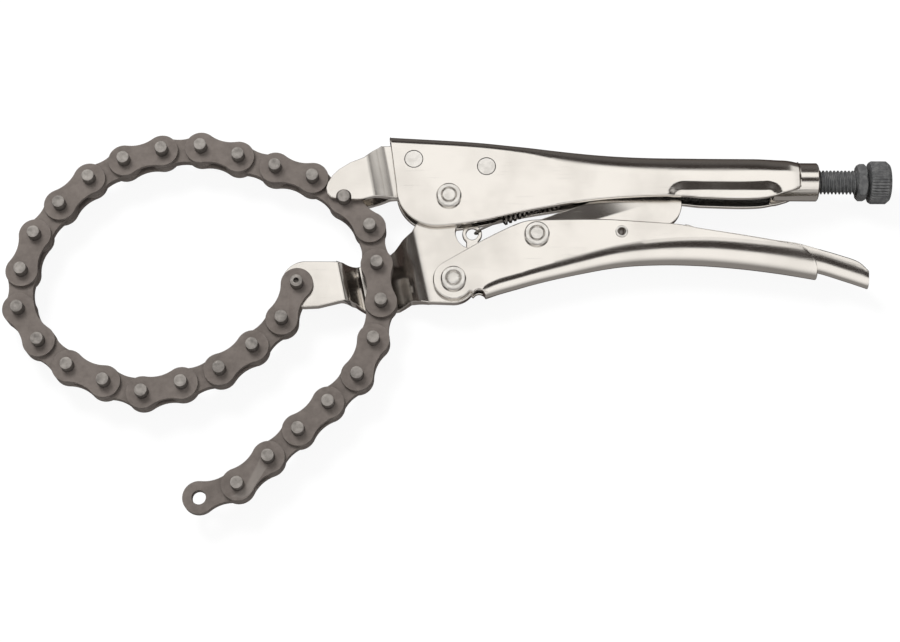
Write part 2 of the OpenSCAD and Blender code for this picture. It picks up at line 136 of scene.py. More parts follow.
class Finish:
    """A node tree under construction, for a material or for the world."""

    def __init__(self, tree):
        self.tree = tree
        self.tree.nodes.clear()

    def node(self, kind, settings=None, inputs=None, output=0):
        """Adds a node of a kind, sets it up, then fills or links its sockets; gives one of its outputs."""
        made = self.tree.nodes.new(kind)
        for name, value in (settings or {}).items():
            setattr(made, name, value)
        for name, value in (inputs or {}).items():
            if isinstance(value, Value):
                self.tree.links.new(value.socket, made.inputs[name])
            else:
                made.inputs[name].default_value = value
        return Value(self, made.outputs[output]) if made.outputs else None

    def object_place(self, stretch=(1, 1, 1), turn=0.0):
        there = self.node("ShaderNodeTexCoord", output="Object")
        return self.node("ShaderNodeMapping", None,
                         {"Vector": there, "Rotation": (0, 0, turn), "Scale": stretch})

    def noise(self, where, scale, detail=4.0, roughness=0.55):
        return self.node("ShaderNodeTexNoise", None,
                         {"Vector": where, "Scale": scale, "Detail": detail, "Roughness": roughness})

    def between(self, value, low, high):
        return self.node("ShaderNodeMapRange", {"interpolation_type": "SMOOTHSTEP"},
                         {"Value": value, "From Min": low, "From Max": high})

    def mix(self, factor, first, second):
        return self.node("ShaderNodeMix", {"data_type": "RGBA"}, {0: factor, 6: first, 7: second}, 2)

    def bump(self, height, strength, distance):
        return self.node("ShaderNodeBump", None,
                         {"Height": height, "Strength": strength, "Distance": distance})

    def surface(self, shader):
        self.node("ShaderNodeOutputMaterial", None, {"Surface": shader})


def new_finish(name):
    material = bpy.data.materials.new(name)
    material.use_nodes = True
    return material, Finish(material.node_tree)


def rgb(red, green, blue):
    return (red, green, blue, 1.0)


def nickel_plate():
    """Bright nickel over pressed steel: faint waves, clouding and hairline scratches."""
    material, f = new_finish("nickel_plate")
    where = f.object_place()
    cloud = f.noise(where, 45.0, 3.0)
    speck = f.noise(where, 900.0, 5.0, 0.7)
    hair = f.noise(f.object_place((25, 900, 900), 0.25), 2.0, 3.0)
    scratch = f.between(hair, 0.62, 0.72)
    dull = f.between(cloud, 0.35, 0.75)
    colour = f.mix(dull, rgb(0.83, 0.80, 0.76), rgb(0.76, 0.73, 0.69))
    colour = f.mix(f.between(speck, 0.68, 0.78) * 0.5, colour, rgb(0.5, 0.46, 0.42))
    wave = f.noise(where, 70.0, 2.0)
    height = wave * 0.22 + speck * 0.02 - scratch * 0.02
    f.surface(f.node("ShaderNodeBsdfPrincipled", None, {
        "Base Color": colour,
        "Metallic": 1.0,
        "Roughness": 0.15 + dull * 0.06 + scratch * 0.08,
        "Normal": f.bump(height, 0.25, 0.0004)}))
    return material


def rivet_steel():
    """Turned and plated rivet steel, a little duller than the pressings."""
    material, f = new_finish("rivet_steel")
    where = f.object_place()
    grain = f.noise(where, 1400.0, 4.0, 0.65)
    cloud = f.noise(where, 260.0, 3.0)
    colour = f.mix(f.between(cloud, 0.35, 0.7), rgb(0.82, 0.80, 0.77), rgb(0.70, 0.68, 0.65))
    f.surface(f.node("ShaderNodeBsdfPrincipled", None, {
        "Base Color": colour,
        "Metallic": 1.0,
        "Roughness": 0.16 + cloud * 0.1,
        "Normal": f.bump(grain, 0.2, 0.0001)}))
    return material


def chain_steel(name, dark, light, rough):
    """Oiled phosphate coat with mottled brown-grey colour, lighter at the edges: partly wear, partly a
    painted highlight.
    """
    material, f = new_finish(name)
    where = f.object_place()
    mottle = f.noise(where, 380.0, 5.0, 0.6)
    fine = f.noise(where, 2600.0, 3.0, 0.6)
    patch = f.noise(where, 60.0, 2.0)
    tone = f.between(mottle * 0.6 + patch * 0.4, 0.3, 0.7)
    # Edges lightened by pointiness: partly wear, partly a painted highlight
    edge = f.between(f.node("ShaderNodeNewGeometry", output="Pointiness"), 0.52, 0.6)
    colour = f.mix(edge * 0.35, f.mix(tone, dark, light), rgb(0.42, 0.39, 0.36))
    f.surface(f.node("ShaderNodeBsdfPrincipled", None, {
        "Base Color": colour,
        "Metallic": 0.55,
        "Roughness": rough + tone * 0.1,
        "Normal": f.bump(fine * 0.5 + mottle * 0.5, 0.35, 0.00012)}))
    return material


def black_oxide():
    """Black oxide on machined steel, worn grey along its edges."""
    material, f = new_finish("black_oxide")
    where = f.object_place()
    mottle = f.noise(where, 500.0, 4.0, 0.6)
    edge = f.between(f.node("ShaderNodeNewGeometry", output="Pointiness"), 0.52, 0.62)
    colour = f.mix(f.between(mottle, 0.35, 0.7), rgb(0.075, 0.076, 0.078), rgb(0.14, 0.14, 0.139))
    colour = f.mix(edge * 0.5, colour, rgb(0.2, 0.2, 0.2))
    f.surface(f.node("ShaderNodeBsdfPrincipled", None, {
        "Base Color": colour,
        "Metallic": 0.3,
        "Roughness": 0.42 + mottle * 0.15,
        "Normal": f.bump(mottle, 0.25, 0.0001)}))
    return material


def spring_wire():
    """Dark drawn wire with fine draw marks."""
    material, f = new_finish("spring_wire")
    where = f.object_place()
    drawn = f.noise(where, 1800.0, 3.0)
    colour = f.mix(drawn, rgb(0.16, 0.15, 0.14), rgb(0.30, 0.28, 0.26))
    f.surface(f.node("ShaderNodeBsdfPrincipled", None, {
        "Base Color": colour,
        "Metallic": 1.0,
        "Roughness": 0.3 + drawn * 0.15,
        "Normal": f.bump(drawn, 0.2, 0.00005)}))
    return material


NICKEL = nickel_plate()
RIVET = rivet_steel()
PLATE = chain_steel("chain_plate_steel", rgb(0.12, 0.101, 0.09), rgb(0.19, 0.163, 0.147), 0.48)
# Pin sides and pin ends are darker and lighter copies of one steel: painted shade on the sides, painted
# light on the ends
PIN = chain_steel("chain_pin_steel", rgb(0.07, 0.06, 0.054), rgb(0.13, 0.115, 0.105), 0.46)
PIN_END_PAINTED_LIGHT = chain_steel("chain_pin_end_steel", rgb(0.15, 0.138, 0.127), rgb(0.36, 0.335, 0.31), 0.4)
OXIDE = black_oxide()
WIRE = spring_wire()


# Modelling

def deselect():
    bpy.ops.object.select_all(action="DESELECT")


def activate(piece):
    deselect()
    piece.select_set(True)
    bpy.context.view_layer.objects.active = piece


def edit(piece, how="FACE"):
    activate(piece)
    bpy.ops.object.mode_set(mode="EDIT")
    bpy.ops.mesh.select_mode(type=how)


def done():
    bpy.ops.object.mode_set(mode="OBJECT")


def named(name):
    piece = bpy.context.object
    piece.name = name
    piece.data.name = name
    return piece


def cylinder(name, radius, low, high, at=(0, 0), sides=64):
    """Upright round bar between two levels."""
    deselect()
    bpy.ops.mesh.primitive_cylinder_add(vertices=sides, radius=radius, depth=high - low,
                                        location=(at[0], at[1], (low + high) / 2))
    bpy.ops.object.transform_apply()
    return named(name)


def apply_turn(piece):
    """Moves a piece's turn, size and place into its mesh."""
    activate(piece)
    bpy.ops.object.transform_apply()
    return piece


def along_screw(piece):
    """Lays an upright piece along the axis of the adjusting screw, with its foot at its own level."""
    piece.rotation_euler = (0, math.pi / 2, 0)
    piece.location = (0, SCREW_Y, 0)
    return apply_turn(piece)


def block(name, low, high):
    deselect()
    middle = [(a + b) / 2 for a, b in zip(low, high)]
    bpy.ops.mesh.primitive_cube_add(size=1, location=middle, scale=[b - a for a, b in zip(low, high)])
    bpy.ops.object.transform_apply()
    return named(name)


def plate(name, outline, low, high):
    """Flat plate of the given outline, drawn as a filled ring and raised to its thickness."""
    deselect()
    bpy.ops.mesh.primitive_circle_add(vertices=len(outline), fill_type="NGON")
    piece = named(name)
    for vertex, point in zip(piece.data.vertices, outline):
        vertex.co = (point[0], point[1], low)
    edit(piece)
    bpy.ops.mesh.select_all(action="SELECT")
    bpy.ops.mesh.extrude_region_move(TRANSFORM_OT_translate={"value": (0, 0, high - low)})
    bpy.ops.mesh.select_all(action="SELECT")
    bpy.ops.mesh.normals_make_consistent(inside=False)
    done()
    return piece


def apply(piece, kind, **settings):
    activate(piece)
    modifier = piece.modifiers.new(kind.lower(), kind)
    for name, value in settings.items():
        setattr(modifier, name, value)
    bpy.ops.object.modifier_apply(modifier=modifier.name)
    return piece


def cut(piece, tool, how="DIFFERENCE"):
    apply(piece, "BOOLEAN", operation=how, object=tool, solver="EXACT")
    bpy.data.objects.remove(tool)
    return piece


def bore(piece, at, radius):
    return cut(piece, cylinder("drill", radius, -FAR / 2, FAR / 2, at))


# How near points are doubles, in millimetres, and how flat neighbouring faces are one, in degrees
SOLID_WELD = 0.004
SOLID_FLAT = 0.4
CHANNEL_WELD = 0.03
CHANNEL_FLAT = 0.05

# How near its level a flat side lies, in millimetres, and how little a cut end leans
LEVEL_NEAR = 0.0002
END_LEAN = 0.0001


def weld(piece, within):
    """Merges doubled points."""
    edit(piece, "VERT")
    bpy.ops.mesh.select_all(action="SELECT")
    bpy.ops.mesh.remove_doubles(threshold=within)
    done()


def melt(piece, flat, test):
    """Melts neighbouring faces that lie in one plane, among those that pass a test."""
    pick_faces(piece, test)
    edit(piece)
    bpy.ops.mesh.dissolve_limited(angle_limit=math.radians(flat))
    done()


def clean(piece):
    """Merges doubled points and melts every flat field of a solid or a cut piece."""
    weld(piece, SOLID_WELD)
    melt(piece, SOLID_FLAT, lambda face: True)


def clean_channel(piece, levels):
    """Merges doubled points and melts the level sides and the cut ends of a pressed channel."""
    weld(piece, CHANNEL_WELD)
    points = piece.data.vertices

    def level_or_cut(face):
        heights = [abs(points[i].co.z) for i in face.vertices]
        lies_level = any(max(abs(height - level) for height in heights) < LEVEL_NEAR for level in levels)
        return lies_level or abs(face.normal.z) < END_LEAN

    melt(piece, CHANNEL_FLAT, level_or_cut)


# Edges that turn further than this, in degrees, are sharp
SHARP = 34


def ease(piece, width, turns=2, angle=SHARP, holes=()):
    """Rounds the sharp edges, drills holes that stay sharp and smooths what lies between the edges."""
    apply(piece, "BEVEL", width=width, segments=turns, limit_method="ANGLE",
          angle_limit=math.radians(angle), miter_outer="MITER_ARC", use_clamp_overlap=False)
    for at, radius in holes:
        bore(piece, at, radius)
    smooth(piece, angle)
    return apply(piece, "WEIGHTED_NORMAL", mode="FACE_AREA", weight=90, keep_sharp=True)


def smooth(piece, angle=SHARP):
    activate(piece)
    bpy.ops.object.shade_smooth_by_angle(angle=math.radians(angle))
    return piece


def pick_faces(piece, test):
    """Selects the faces that pass a test, in object mode."""
    mesh = piece.data
    for group in (mesh.vertices, mesh.edges):
        for item in group:
            item.select = False
    for face in mesh.polygons:
        face.select = test(face)


def join(name, pieces):
    deselect()
    for piece in pieces:
        piece.select_set(True)
    bpy.context.view_layer.objects.active = pieces[0]
    bpy.ops.object.join()
    return named(name)


def copy_of(piece, name, matrix):
    twin = piece.copy()
    twin.data = piece.data.copy()
    twin.data.transform(matrix)
    bpy.context.collection.objects.link(twin)
    twin.name = name
    twin.data.name = name
    return twin


def paint(piece, *materials):
    piece.data.materials.clear()
    for material in materials:
        piece.data.materials.append(material)
    return piece


def settle(piece, body, slot, *nodes):
    """Brings a finished piece into the row frame and hands it to its body."""
    piece.scale = (MM, MM, MM)
    piece.location = ORIGIN
    apply_turn(piece)
    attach(piece, body)
    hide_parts(*nodes)
    return piece


# Pressed channels

def slope(points, i):
    a, b = points[max(i - 1, 0)], points[min(i + 1, len(points) - 1)]
    return (b[1] - a[1]) / (b[0] - a[0])


def curve(points, x):
    """Smooth curve through given points, with the slope at each taken from its neighbours."""
    i = 0
    while i < len(points) - 2 and x >= points[i + 1][0]:
        i += 1
    (x0, y0), (x1, y1) = points[i], points[i + 1]
    h = x1 - x0
    s = min(max((x - x0) / h, 0), 1)
    return (y0 * (1 + 2 * s) * (1 - s) ** 2 + slope(points, i) * h * s * (1 - s) ** 2
            + y1 * s * s * (3 - 2 * s) + slope(points, i + 1) * h * s * s * (s - 1))


def arc(centre, radius, start, stop, steps):
    return [(centre[0] + radius * math.cos(math.radians(start + (stop - start) * i / steps)),
             centre[1] + radius * math.sin(math.radians(start + (stop - start) * i / steps)))
            for i in range(steps + 1)]


def soft_step(value, low, high):
    s = min(max((value - low) / (high - low), 0), 1)
    return s * s * (3 - 2 * s)


# Points along a channel's side and round its bend, and the least of each that a section keeps
SIDE_STEPS = 26
ARC_STEPS = 14
LEAST_SIDE = 0.3
LEAST_BEND = 0.05
LEAST_SPINE = 0.2


def half_section(spine, lip, half, width, rise):
    """Half of a channel's skin from its lip to the middle of its spine, with an oval bend, as (y, z)."""
    way = 1 if spine > lip else -1
    turn = spine - way * rise
    angles = [math.radians(90 * i / ARC_STEPS) for i in range(ARC_STEPS + 1)]
    side = [(lip + (turn - lip) * i / SIDE_STEPS, half) for i in range(SIDE_STEPS)]
    return side + [(turn + way * rise * math.sin(a), half - width + width * math.cos(a)) for a in angles]


def mirrored(half):
    return [(y, -z) for y, z in reversed(half)]


def section(spine, lip, half, width, rise, wall):
    """Closed outline of a channel: its outer skin from lip to lip, and back along the inner one."""
    way = 1 if spine > lip else -1
    rise = min(rise, abs(spine - lip) - LEAST_SIDE)
    outer = half_section(spine, lip, half, width, rise)
    inner_width, inner_rise = max(width - wall, LEAST_BEND), max(rise - wall, LEAST_BEND)
    inner = half_section(spine - way * wall, lip, half - wall, inner_width, inner_rise)
    skin = inner + mirrored(inner)
    return outer + mirrored(outer) + skin[::-1]


def channel(name, start, stop, step, row, wall, dent=None):
    """Sheet pressed into a channel along X; row(x) gives spine, lip, half width and the bend's size."""
    count = round((stop - start) / step)
    places = [start + (stop - start) * i / count for i in range(count + 1)]
    rings = [section(*row(x), wall) for x in places]
    round_trip = len(rings[0])
    deselect()
    bpy.ops.mesh.primitive_grid_add(x_subdivisions=count, y_subdivisions=round_trip, size=2)
    piece = named(name)
    for vertex in piece.data.vertices:
        i = round((vertex.co.x + 1) / 2 * count)
        k = round((vertex.co.y + 1) / 2 * round_trip) % round_trip
        y, z = rings[i][k]
        pressed = dent(places[i], y) if dent else 0
        vertex.co = (places[i], y, math.copysign(max(abs(z) - pressed, 0), z))
    edit(piece)
    bpy.ops.mesh.select_all(action="SELECT")
    bpy.ops.mesh.remove_doubles(threshold=0.0001)
    bpy.ops.mesh.fill_holes(sides=0)
    bpy.ops.mesh.select_all(action="SELECT")
    bpy.ops.mesh.normals_make_consistent(inside=False)
    done()
    return piece


def keep_inside(piece, row, until):
    """Holds the rounded edges inside the pressed shape."""
    for vertex in piece.data.vertices:
        x, y, z = vertex.co
        if x < until:
            spine, lip, half = row(x)[:3]
            vertex.co = (x, min(max(y, min(spine, lip)), max(spine, lip)), min(max(z, -half), half))


# The handle along X: the levels of its spine and lip, the width and height of its bend, its half width
HANDLE_TOP = [(-25, 26.2), (9, 24.3), (29, 22.4), (45, 20.7), (62, 19.1), (78, 18.2), (98, 17.9),
              (124, 17.8), (133, 17.3), (138, 17), (142, 16.25)]
HANDLE_LIP = [(-25, -12.6), (-4, -12.6), (13, -10.4), (29, -6.6), (45, -3.6), (61, -1.2), (77, -0.2),
              (95, 0), (103, -0.7), (126, -0.8), (138, 2), (142, 4)]
HANDLE_BEND = [(-25, 3.6), (22, 3.6), (35, 4.1), (50, 5.2), (75, 6.4), (90, 7), (118, 7.1),
               (131, 7.7), (142, 7.6)]
HANDLE_RISE = [(-25, 3.9), (22, 4), (35, 5.2), (50, 7.7), (75, 8.8), (103, 9.3), (131, 8.6), (142, 7.9)]
HANDLE_HALF = [(-25, HANDLE_OUT), (20, HANDLE_OUT), (24, HANDLE_OUT), (60, 6.07), (92, 7.4), (118, 7.4),
               (131, 8.15), (138, 8.2), (142, 7.85)]
HANDLE_X = (-25, 142)
HANDLE_STEP = 0.8
SHOULDER_X = 128
FRONT_AT = (-5.2, 3.6)
FRONT_R = 16.2
FRONT_TOP = (-26.4, 40)
PAST_END = 200
BEHIND = [(PAST_END, -20), (PAST_END, 40)]
TUBE_X = (132, 150)
TUBE_R = 7.8
TUBE_EDGE = 0.5
HANDLE_EDGE = 0.45

# The press in the handle's sides: where it lies, how deep it is and how wide its flanks are
RECESS_X = (88.5, 134.5)
RECESS_TOP = 6.0
RECESS_CORNER = 6.5
RECESS_DEPTH = 0.5
END_DEPTH = 0.35
RECESS_FLANK = 3.5
END_FLANK = 2.2
END_FADE = (2, 16)


def handle_row(x):
    half = curve(HANDLE_HALF, x)
    width = min(curve(HANDLE_BEND, x), half - LEAST_SPINE)
    return curve(HANDLE_TOP, x), curve(HANDLE_LIP, x), half, width, curve(HANDLE_RISE, x)


def recess(x, y):
    """Depth of the pressing in the handle's sides, a round-cornered field that is deepest at its ends."""
    inner = (RECESS_X[1] - RECESS_X[0]) / 2 - RECESS_CORNER
    across = max(abs(x - sum(RECESS_X) / 2) - inner, 0)
    up = max(y - (RECESS_TOP - RECESS_CORNER), 0)
    inside = RECESS_CORNER - math.hypot(across, up)
    from_end = inner + RECESS_CORNER - abs(x - sum(RECESS_X) / 2)
    depth = RECESS_DEPTH + END_DEPTH * (1 - soft_step(from_end, *END_FADE))
    aside = across / max(math.hypot(across, up), 0.001)
    flank = RECESS_FLANK + (END_FLANK - RECESS_FLANK) * aside
    return depth * min(max(inside / flank, 0), 1)


def upper_handle():
    """Pressed channel with a round front, joined to the tube that the adjusting screw runs in."""
    piece = channel("handle", *HANDLE_X, HANDLE_STEP, handle_row, SHEET, recess)
    outline = [FRONT_TOP] + arc(FRONT_AT, FRONT_R, 180, 270, 24) + BEHIND
    cut(piece, plate("front", outline, -FAR / 2, FAR / 2), "INTERSECT")
    tube = along_screw(cylinder("tube", TUBE_R, *TUBE_X))
    ease(tube, TUBE_EDGE)
    cut(piece, tube, "UNION")
    cut(piece, along_screw(cylinder("drill", SCREW_BORE, TIP_X, PAST_END)))
    clean_channel(piece, (HANDLE_OUT, HANDLE_OUT - SHEET))
    holes = [(JAW_PIVOT, RIVET_BORE)] + [(at, FLUSH_BORE) for at in FLUSH_RIVETS]
    ease(piece, HANDLE_EDGE, turns=3, holes=holes)
    keep_inside(piece, handle_row, SHOULDER_X)
    paint(piece, NICKEL)
    settle(piece, "handle", "nickel_plate", "upper_handle")


# The lever along X, in the same way
LEVER_SPINE = [(-8, -43.6), (13, -42.2), (21, -39.8), (37, -35.1), (53, -31.3), (69, -28.3), (85, -27.2),
               (101, -27.4), (117, -28.6), (133, -30.6), (148, -33.1)]
LEVER_LIP = [(-8, -29.6), (9, -20.9), (21, -14.5), (29, -10.8), (35, -9.6), (61, -9.5), (77, -10.6),
             (93, -12), (101, -13.6), (117, -16.2), (133, -19), (148, -21.9)]
LEVER_BEND = [(-8, 0.3), (8, 0.3), (11.5, 0.3), (15, 3.4), (30, 4), (60, 5), (100, 6.5), (148, 6.5)]
LEVER_RISE = [(-8, 0.3), (8, 0.3), (11.5, 0.3), (15, 4.8), (30, 5.7), (56, 7), (103, 10), (125, 10.6),
              (148, 11.5)]
LEVER_HALF = [(-8, LEVER_OUT), (26, LEVER_OUT), (44, LEVER_OUT), (68, 5.575), (100, 6.8), (148, 6.8)]
LEVER_X = (-8, 149)
LEVER_STEP = 1.5
LEVER_END = 148
LEVER_EDGE = 0.5
LEVER_TOP = [(21, -14), (30, 10), (100, 10)]
BELOW = -60

# The lever's round ear, the notch between it and the spine, and the rounded corner at the far end
EAR_R = 8.2
EAR_SWEEP = (325, 118)
SPINE_START = 13
RELIEF = (12.4, -41.7)
RELIEF_R = 2.4
RELIEF_SWEEP = (-10, 160)
RELIEF_EDGE = 14.9
CORNER_LONG = 11
CORNER_HIGH = 12
CORNER_TOP = -19.8


def lever_half(x):
    return curve(LEVER_HALF, min(x, LEVER_END))


def lever_row(x):
    half = lever_half(x)
    width = min(curve(LEVER_BEND, x), half - LEAST_SPINE)
    return curve(LEVER_SPINE, x), curve(LEVER_LIP, x), half, width, curve(LEVER_RISE, x)


def lower_lever():
    """Pressed channel that ends in two flat ears, with the jaw between them."""
    piece = channel("lever", *LEVER_X, LEVER_STEP, lever_row, SHEET)
    outline = list(LEVER_TOP)
    for x, y in arc((0, 0), 1, 90, 0, 24):
        outline.append((LEVER_END - CORNER_LONG * (1 - x), CORNER_TOP - CORNER_HIGH * (1 - y)))
    outline += [(LEVER_END, BELOW), (RELIEF_EDGE, BELOW)]
    outline += arc(RELIEF, RELIEF_R, *RELIEF_SWEEP, 16) + arc(LEVER_PIVOT, EAR_R, *EAR_SWEEP, 40)
    cut(piece, plate("front", outline, -FAR / 2, FAR / 2), "INTERSECT")
    cut(piece, block("gap", (-FAR, -FAR, -LEVER_IN), (SPINE_START, FAR, LEVER_IN)))
    clean_channel(piece, (LEVER_OUT, LEVER_IN))
    holes = [(LEVER_PIVOT, RIVET_BORE), (LINK_PIVOT, RIVET_BORE), (RELEASE_PIVOT, RELEASE_BORE)]
    ease(piece, LEVER_EDGE, turns=3, holes=holes)
    keep_inside(piece, lever_row, FAR)
    paint(piece, NICKEL)
    settle(piece, "lever", "nickel_plate", "lower_lever")


# The release lever along X, in the same way, a little narrower than the lever
RELEASE_SPINE = [(58, -20.6), (70, -21.4), (85, -22), (101, -23.2), (117, -25.2), (133, -27.8), (148, -30.2),
                 (158, -33.3), (168.5, -36.9)]
RELEASE_LIP = [(58, -15.5), (64, -12.6), (70, -12), (84, -14), (91, -14.2), (94, -12), (96, -11.3),
               (99, -12.4), (104, -15.4), (118, -16), (130, -17.6), (140, -19), (147, -21),
               (157, -24), (164.5, -26.8), (168.5, -30.6)]
RELEASE_RISE = [(58, 5), (100, 5), (125, 7.5), (168.5, 7.5)]
RELEASE_X = (58, 168.5)
RELEASE_STEP = 1.3
RELEASE_INSET = 2.5
RELEASE_EDGE = 0.3


def release_row(x):
    half = lever_half(x) - RELEASE_INSET
    return curve(RELEASE_SPINE, x), curve(RELEASE_LIP, x), half, half - LEAST_SPINE, curve(RELEASE_RISE, x)


def release_lever():
    """Smaller channel that lies in the lever and stands out behind it."""
    piece = channel("release_tab", *RELEASE_X, RELEASE_STEP, release_row, RELEASE_SHEET)
    weld(piece, CHANNEL_WELD)
    ease(piece, RELEASE_EDGE, holes=[(RELEASE_PIVOT, RELEASE_RUN)])
    keep_inside(piece, release_row, FAR)
    paint(piece, NICKEL)
    settle(piece, "release", "nickel_plate", "release_lever")


# Flat pressings keep the shape of their solid and get rounded edges

FOLD_STEP = 0.4

# The toggle link's hollow: its growth per millimetre, its full share of the length, and where it is scored
HOLLOW = 0.062
HOLLOW_FULL = 0.35
HOLLOW_FROM = 4
HOLLOW_STEP_ACROSS = 1.0
HOLLOW_STEP_ALONG = 2.0

# Where a pressing is folded: a point, the way across its folds, its middle line, its half thickness
HOOK_AT = (-28.6, 10)
HOOK_TURN = 11
HOOK_LINE = [(-60, 5.8), (-3, 5.8), (3, 1.2), (90, 1.2)]
HOOK_REACHES = (2.6, 2.6)
HOOK_HALF = 1.2
JAW_AT = (-29.2, -35)
JAW_TURN = 12
JAW_LINE = [(-60, 0), (-13.4, 0), (-8.2, -11), (8.2, -11), (17.4, 0), (90, 0)]
JAW_REACHES = (2.2, 3.0, 5.0, 4.1)
JAW_HALF = 2
LINK_TURN = 16.2
LINK_HOLLOW = (10, 0, 54)


def slices(piece, at, across, start, stop, step):
    """Scores a piece along parallel lines, so that it can be bent between them."""
    count = round((stop - start) / step)
    edit(piece)
    for i in range(count + 1):
        bpy.ops.mesh.select_all(action="SELECT")
        bpy.ops.mesh.bisect(plane_co=at + across * (start + (stop - start) * i / count), plane_no=across)
    done()


def middle_line(line, reaches, u):
    """Level of a bent plate's middle before and after its folds are rolled, and its slope after."""
    i = 0
    while i < len(line) - 2 and u >= line[i + 1][0]:
        i += 1
    slopes = [(b[1] - a[1]) / (b[0] - a[0]) for a, b in zip(line, line[1:])]
    level = line[i][1] + slopes[i] * (u - line[i][0])
    rolled, lean = level, slopes[i]
    for k, reach in enumerate(reaches):
        near = max(reach - abs(u - line[k + 1][0]), 0)
        change = slopes[k + 1] - slopes[k]
        rolled += change / (4 * reach) * near ** 2
        lean -= change / (2 * reach) * near * (1 if i > k else -1)
    return level, rolled, lean


def soften_folds(piece, at, turn, line, reaches, half):
    """Rolls the folds of a bent plate to wide curves; line is its middle line, half its half thickness."""
    at = Vector((*at, 0))
    across = Vector((math.cos(math.radians(turn)), math.sin(math.radians(turn)), 0))
    for (fold, _), reach in zip(line[1:], reaches):
        slices(piece, at, across, fold - reach, fold + reach, FOLD_STEP)
    for vertex in piece.data.vertices:
        level, rolled, lean = middle_line(line, reaches, (vertex.co - at).dot(across))
        if abs(vertex.co.z - level) > half * 0.5:
            vertex.co.z = rolled + math.copysign(half * math.hypot(1, lean), vertex.co.z - level)


def hollow_face(piece, at, turn, start, stop, end):
    """Thins a flat plate from one of its long edges to the other, less and less towards its end."""
    at = Vector((*at, 0))
    along = Vector((math.cos(math.radians(turn)), math.sin(math.radians(turn)), 0))
    across = Vector((-along.y, along.x, 0))
    slices(piece, at, across, stop, start, HOLLOW_STEP_ACROSS)
    slices(piece, at, along, HOLLOW_FROM, end, HOLLOW_STEP_ALONG)
    for vertex in piece.data.vertices:
        down = min(max(start - (vertex.co - at).dot(across), 0), start - stop)
        fade = 1 - soft_step((vertex.co - at).dot(along), HOLLOW_FULL * end, end)
        vertex.co.z *= 1 - HOLLOW * down * fade


def hook_top_shape(piece):
    soften_folds(piece, HOOK_AT, HOOK_TURN, HOOK_LINE, HOOK_REACHES, HOOK_HALF)


def hook_bottom_shape(piece):
    soften_folds(piece, HOOK_AT, HOOK_TURN, [(u, -z) for u, z in HOOK_LINE], HOOK_REACHES, HOOK_HALF)


def jaw_shape(piece):
    soften_folds(piece, JAW_AT, JAW_TURN, JAW_LINE, JAW_REACHES, JAW_HALF)


def link_shape(piece):
    hollow_face(piece, (LINK_PIVOT.x, LINK_PIVOT.y), LINK_TURN, *LINK_HOLLOW)


def dressed(node, body, slot, material, width, angle=SHARP, shape=None):
    """Copies a solid, shapes it further where asked, rounds its edges and lets it stand for the solid."""
    twin = copy_of(frame["nodes"][node], node + "_dressed", Matrix())
    twin.parent = None
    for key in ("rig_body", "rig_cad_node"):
        del twin[key]
    twin.data.transform(Matrix.Scale(1 / MM, 4) @ Matrix.Translation(-ORIGIN))
    clean(twin)
    if shape:
        shape(twin)
    ease(twin, width, 3, angle)
    paint(twin, material)
    return settle(twin, body, slot, node)


# Rivets

# Flat ends have more corners than this, and lie this near to their level, in millimetres
END_CORNERS = 8
NEAR = 0.01


def inset_top(piece, level, inset, sink):
    """Insets the flat ends that lie at a level, then sinks them, on both sides of the tool."""
    pick_faces(piece, lambda face: (len(face.vertices) > END_CORNERS
                                    and abs(abs(face.center.z) - level) < NEAR))
    edit(piece)
    bpy.ops.mesh.inset(thickness=inset, depth=-sink)
    done()
    return level - sink


HEAD_R = 5.1
HEAD_HIGH = 2
HEAD_CHAMFER = 0.55
HEAD_EDGE = 0.14
HEAD_SHARP = 30
HEAD_SIDES = 72

# Steps of a head from its rim to its centre: how far each goes in, and how far it sinks
HEAD_STEPS = [(0.5, -HEAD_CHAMFER), (1.35, 0), (0.22, 0.7), (0.3, 0), (0.22, -0.6)]
CENTRE_R = 2.6
CENTRE_NEAR = 0.1
LEVER_SPLINES = 12
SPLINE_CUT = 0.22


def rivet_head(name, at, half, splines):
    """Rivet with a raised ring round a sunk groove and a set centre; the centre may be splined."""
    level = half + HEAD_HIGH - HEAD_CHAMFER
    piece = cylinder(name, HEAD_R, -level, level, at, HEAD_SIDES)
    for inset, sink in HEAD_STEPS:
        level = inset_top(piece, level, inset, sink)
    if splines:
        for vertex in piece.data.vertices:
            flat = Vector((vertex.co.x - at.x, vertex.co.y - at.y))
            turn = math.atan2(flat.y, flat.x)
            centre = flat.length < CENTRE_R and abs(abs(vertex.co.z) - level) < CENTRE_NEAR
            if centre and math.cos(turn * splines) < 0:
                vertex.co.x -= flat.x * SPLINE_CUT
                vertex.co.y -= flat.y * SPLINE_CUT
    ease(piece, HEAD_EDGE, angle=HEAD_SHARP)
    return paint(piece, RIVET)


RELEASE_RIVET_R = 2.5
RELEASE_RIVET_HOLE = 1.6
RELEASE_RIVET_PROUD = 0.5
RELEASE_RIVET_EDGE = 0.3
FLUSH_EDGE = 0.25


